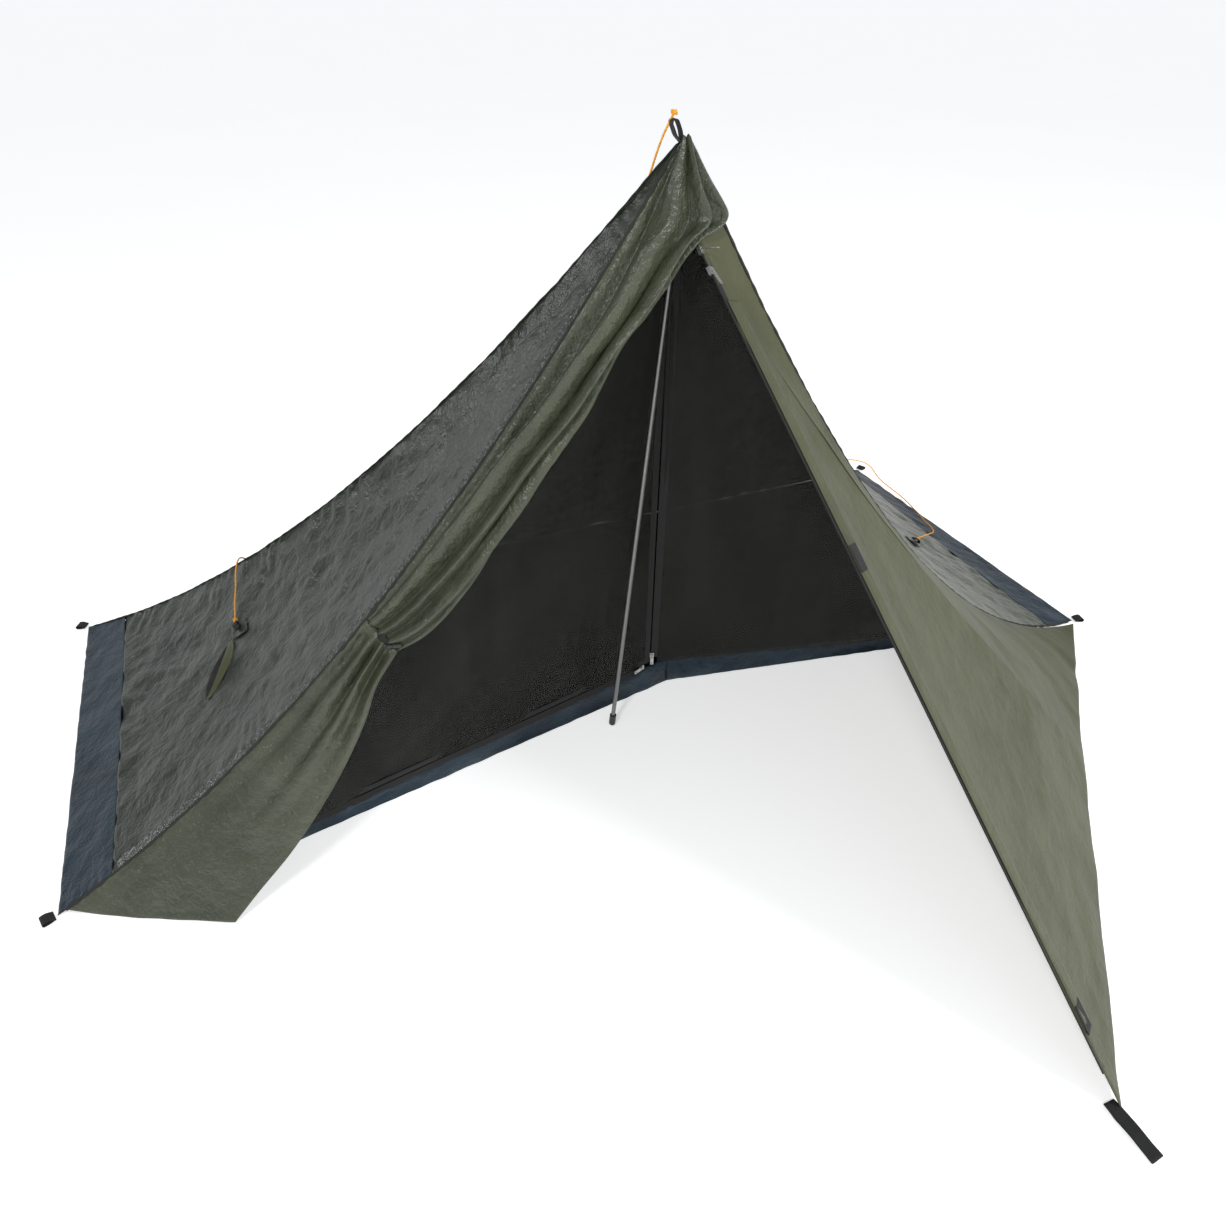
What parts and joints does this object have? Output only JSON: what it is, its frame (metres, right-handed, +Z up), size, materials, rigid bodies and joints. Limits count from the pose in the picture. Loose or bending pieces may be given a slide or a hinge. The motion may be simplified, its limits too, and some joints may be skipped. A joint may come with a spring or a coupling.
{
  "type": "solo single-pole tent",
  "caption": "Solo single-pole pyramid tent with a bathtub floor, a zipped mesh front wall, a two-flap vestibule, corner webbing loops and cord guylines.",
  "frame": {"origin": "middle of the floor rectangle, on the ground", "axes": "+X along the front to the right as seen from the door, +Y from the door side to the back wall, +Z up"},
  "size_m": [2.2838, 1.944, 1.1277],
  "materials": {
    "olive_nylon": "coated nylon with a soft sheen",
    "olive_binding": "matt folded binding",
    "seam_tape": "glossy heat-sealed tape",
    "navy_floor": "coated groundsheet with a soft sheen",
    "black_mesh": "fine see-through insect mesh",
    "black_webbing": "matt woven webbing",
    "zip_tape": "matt woven tape with a nylon coil",
    "zip_metal": "plated, worn at the edges",
    "black_plastic": "satin moulded",
    "pole_alloy": "anodised grey",
    "shock_cord": "braided cover",
    "orange_cord": "braided cord"
  },
  "bodies": {
    "tent": {"floor_sheet": "navy_floor", "floor_band_left": "navy_floor", "floor_band_right": "navy_floor", "floor_band_back": "navy_floor", "front_sill_left": "navy_floor", "front_sill_right": "navy_floor", "left_wall": "olive_nylon", "right_wall": "olive_nylon", "back_wall": "olive_nylon", "left_seam_binding": "olive_binding", "right_seam_binding": "olive_binding", "hip_bindings": "olive_binding", "left_seam_tape": "seam_tape", "peak_cap": "olive_nylon", "pole_cup": "black_plastic", "webbing_loop_front_left": "black_webbing", "webbing_loop_front_right": "black_webbing", "webbing_loop_back_left": "black_webbing", "webbing_loop_back_right": "black_webbing", "webbing_loop_peak": "black_webbing", "left_pullout_loop": "black_webbing", "right_pullout_loop": "black_webbing", "pullout_patches": "black_webbing", "left_vent_mesh": "black_mesh", "mesh_wall_right": "black_mesh", "mesh_wall_left": "black_mesh", "mesh_zip_vertical": "zip_tape", "mesh_zip_sill": "zip_tape", "right_flap_fixed": "olive_nylon", "peak_front_panel": "olive_nylon", "left_flap_roll": "olive_nylon", "left_flap_skirt": "olive_nylon", "left_flap_tie": "black_webbing", "peak_guyline": "orange_cord", "peak_guyline_coil": "orange_cord", "left_guyline": "orange_cord", "left_guyline_coil": "orange_cord", "right_guyline": "orange_cord", "right_guyline_coil": "orange_cord"},
    "right_door": {"right_flap_corner": "olive_nylon", "outer_zip": "zip_tape", "storm_flap": "olive_nylon", "hook_patches": "black_webbing", "webbing_loop_stake": "black_webbing"},
    "mesh_door": {"mesh_door_panel": "black_mesh", "mesh_door_zip": "zip_tape"},
    "outer_upper_slider": {"outer_upper_slider": "zip_metal"},
    "outer_upper_pull": {"outer_upper_pull": "zip_metal"},
    "outer_lower_slider": {"outer_lower_slider": "zip_metal"},
    "outer_lower_pull": {"outer_lower_pull": "zip_metal"},
    "mesh_vertical_slider": {"mesh_vertical_slider": "zip_metal"},
    "mesh_vertical_pull": {"mesh_vertical_pull": "zip_metal"},
    "mesh_sill_slider": {"mesh_sill_slider": "zip_metal"},
    "mesh_sill_pull": {"mesh_sill_pull": "zip_metal"},
    "pole": {"pole_sections": "pole_alloy", "pole_ferrules": "pole_alloy", "pole_foot_cap": "black_plastic", "pole_top_tip": "black_plastic", "pole_shock_cord": "shock_cord"},
    "tie_toggle": {"tie_toggle": "black_plastic"}
  },
  "joints": [
    {"name": "right_door_fold", "type": "hinge", "parent": "tent", "child": "right_door", "pos_m": [0.007, -0.465, 0.978], "axis": [-0.5658, 0.3173, 0.761], "range_deg": [0, 80]},
    {"name": "mesh_door_swing", "type": "hinge", "parent": "tent", "child": "mesh_door", "pos_m": [0.002, -0.414, 0.945], "axis": [0.6357, 0.016, 0.7718], "range_deg": [0, 42]},
    {"name": "outer_upper_slide", "type": "slide", "parent": "right_door", "child": "outer_upper_slider", "axis": [0.1979, -0.66, -0.7247], "range_m": [0, 0.5]},
    {"name": "outer_lower_slide", "type": "slide", "parent": "outer_upper_slider", "child": "outer_lower_slider", "axis": [0.1979, -0.66, -0.7247], "range_m": [0, 0.7]},
    {"name": "outer_upper_pull_flip", "type": "hinge", "parent": "outer_upper_slider", "child": "outer_upper_pull", "pos_m": [0.01409, -0.48307, 0.96328], "axis": [-0.8058, -0.5306, 0.2631], "range_deg": [-50, 60]},
    {"name": "outer_lower_pull_flip", "type": "hinge", "parent": "outer_lower_slider", "child": "outer_lower_pull", "pos_m": [0.02043, -0.50419, 0.94009], "axis": [-0.8058, -0.5306, 0.2631], "range_deg": [0, 90]},
    {"name": "mesh_vertical_slide", "type": "slide", "parent": "tent", "child": "mesh_vertical_slider", "axis": [-0.0601, -0.159, 0.9854], "range_m": [0, 0.8]},
    {"name": "mesh_vertical_pull_flip", "type": "hinge", "parent": "mesh_vertical_slider", "child": "mesh_vertical_pull", "pos_m": [0.05286, -0.27995, 0.08924], "axis": [-0.9476, 0.3192, -0.0063], "range_deg": [0, 150]},
    {"name": "mesh_sill_slide", "type": "slide", "parent": "tent", "child": "mesh_sill_slider", "axis": [-0.9799, -0.1964, -0.0355], "range_m": [0, 0.77]},
    {"name": "mesh_sill_pull_flip", "type": "hinge", "parent": "mesh_sill_slider", "child": "mesh_sill_pull", "pos_m": [0.03014, -0.28111, 0.06301], "axis": [-0.0636, 0.1384, 0.9883], "range_deg": [0, 150]},
    {"name": "pole_tilt", "type": "hinge", "parent": "tent", "child": "pole", "pos_m": [0.00021, -0.44186, 1.05377], "axis": [0, 1, 0], "range_deg": [0, 12]},
    {"name": "tie_toggle_turn", "type": "hinge", "parent": "tent", "child": "tie_toggle", "pos_m": [-0.49545, -0.48005, 0.41472], "axis": [0, -1, 0], "range_deg": [-30, 30]}
  ]
}
